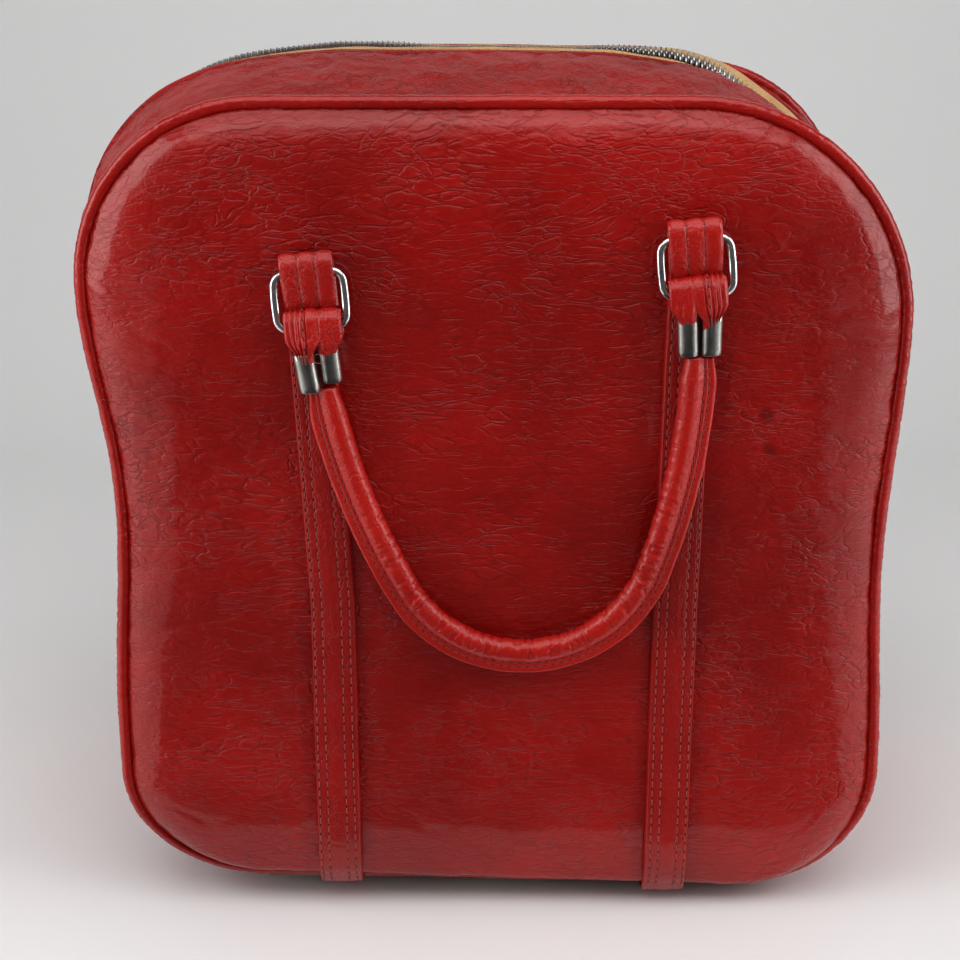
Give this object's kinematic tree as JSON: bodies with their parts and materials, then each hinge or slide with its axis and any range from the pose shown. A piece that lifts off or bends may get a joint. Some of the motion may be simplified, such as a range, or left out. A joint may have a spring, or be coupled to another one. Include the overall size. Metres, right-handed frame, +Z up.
{
  "type": "bowling ball bag",
  "caption": "Soft vinyl bag for a bowling ball, with domed front and back panels, piped seams, a zipper over the top and sides, and a ring-hung handle on each panel.",
  "frame": {"origin": "on the floor under the middle of the bag's box, at the bottom of the feet", "axes": "+Z up, the front panel faces -Y, +X to the right as seen from the front"},
  "size_m": [0.392, 0.2548, 0.3951],
  "materials": {
    "body_vinyl": "semi-gloss, leather-grain embossed vinyl",
    "piping_vinyl": "smooth glossy vinyl",
    "strap_vinyl": "semi-gloss vinyl, stitched",
    "handle_vinyl": "semi-gloss vinyl, creased at the bend",
    "zip_tape": "woven cotton tape",
    "zip_teeth": "bright, slightly worn",
    "slider_metal": "die-cast, slightly worn",
    "ring_steel": "polished steel",
    "ferrule_steel": "darkened, scratched",
    "feet_nickel": "nickel plated, scuffed",
    "board": "pressed fibre",
    "rope_core": "twisted cord",
    "lining": "plain weave",
    "cradle_plastic": "moulded"
  },
  "bodies": {
    "root": {"base_gusset": "body_vinyl", "front_panel_base": "body_vinyl", "back_panel_base": "body_vinyl", "front_piping_base": "piping_vinyl", "back_piping_base": "piping_vinyl", "base_board": "board", "base_lining": "lining", "ball_cradle": "cradle_plastic", "base_feet": "feet_nickel", "base_strap_left": "strap_vinyl", "base_strap_right": "strap_vinyl", "zip_tape_base": "zip_tape", "zip_teeth_base": "zip_teeth", "zip_stops": "zip_teeth", "zip_end_tabs": "strap_vinyl"},
    "front_flap": {"front_panel": "body_vinyl", "front_stiffener": "board", "front_lining": "lining", "front_piping": "piping_vinyl", "front_gusset": "body_vinyl", "zip_tape_front": "zip_tape", "zip_teeth_front": "zip_teeth", "front_strap_left": "strap_vinyl", "front_strap_right": "strap_vinyl", "front_strap_loops": "strap_vinyl"},
    "back_flap": {"back_panel": "body_vinyl", "back_stiffener": "board", "back_lining": "lining", "back_piping": "piping_vinyl", "back_gusset": "body_vinyl", "zip_tape_back": "zip_tape", "zip_teeth_back": "zip_teeth", "back_strap_left": "strap_vinyl", "back_strap_right": "strap_vinyl", "back_strap_loops": "strap_vinyl"},
    "slider": {"zip_slider": "slider_metal"},
    "pull": {"zip_pull": "slider_metal"},
    "front_left_ring": {"front_ring_left": "ring_steel"},
    "front_right_ring": {"front_ring_right": "ring_steel"},
    "front_handle": {"front_handle_grip": "handle_vinyl", "front_handle_core": "rope_core", "front_handle_ends": "handle_vinyl", "front_ferrules": "ferrule_steel"},
    "back_left_ring": {"back_ring_left": "ring_steel"},
    "back_right_ring": {"back_ring_right": "ring_steel"},
    "back_handle": {"back_handle_grip": "handle_vinyl", "back_handle_core": "rope_core", "back_handle_ends": "handle_vinyl", "back_ferrules": "ferrule_steel"}
  },
  "joints": [
    {"name": "front_opens", "type": "hinge", "parent": "root", "child": "front_flap", "pos_m": [0, -0.1174, 0.085], "axis": [1, 0, 0], "range_deg": [0, 25]},
    {"name": "back_opens", "type": "hinge", "parent": "root", "child": "back_flap", "pos_m": [0, 0.1174, 0.085], "axis": [-1, 0, 0], "range_deg": [0, 25]},
    {"name": "slider_travel", "type": "slide", "parent": "root", "child": "slider", "axis": [-0.0392, 0, 0.9992], "range_m": [0, 0.03]},
    {"name": "pull_swing", "type": "hinge", "parent": "slider", "child": "pull", "pos_m": [0.18318, 0, 0.1023], "axis": [0, -1, 0], "range_deg": [0, 150]},
    {"name": "front_left_ring_swing", "type": "hinge", "parent": "front_flap", "child": "front_left_ring", "pos_m": [-0.08069, -0.1182, 0.31052], "axis": [-0.9962, 0, -0.0872], "range_deg": [0, 140]},
    {"name": "front_right_ring_swing", "type": "hinge", "parent": "front_flap", "child": "front_right_ring", "pos_m": [0.08109, -0.1182, 0.32468], "axis": [-0.9962, 0, -0.0872], "range_deg": [0, 140]},
    {"name": "front_handle_swing", "type": "hinge", "parent": "front_left_ring", "child": "front_handle", "pos_m": [0.00218, -0.12221, 0.29494], "axis": [-0.9962, 0, -0.0872], "range_deg": [0, 45]},
    {"name": "back_left_ring_swing", "type": "hinge", "parent": "back_flap", "child": "back_left_ring", "pos_m": [-0.08069, 0.1182, 0.31052], "axis": [0.9962, 0, 0.0872], "range_deg": [0, 140]},
    {"name": "back_right_ring_swing", "type": "hinge", "parent": "back_flap", "child": "back_right_ring", "pos_m": [0.08109, 0.1182, 0.32468], "axis": [0.9962, 0, 0.0872], "range_deg": [0, 140]},
    {"name": "back_handle_swing", "type": "hinge", "parent": "back_left_ring", "child": "back_handle", "pos_m": [0.00218, 0.12221, 0.29494], "axis": [0.9962, 0, 0.0872], "range_deg": [0, 45]}
  ],
  "couplings": [
    {"joint": "front_right_ring_swing", "follows": "front_left_ring_swing", "ratio": 1},
    {"joint": "back_right_ring_swing", "follows": "back_left_ring_swing", "ratio": 1}
  ]
}
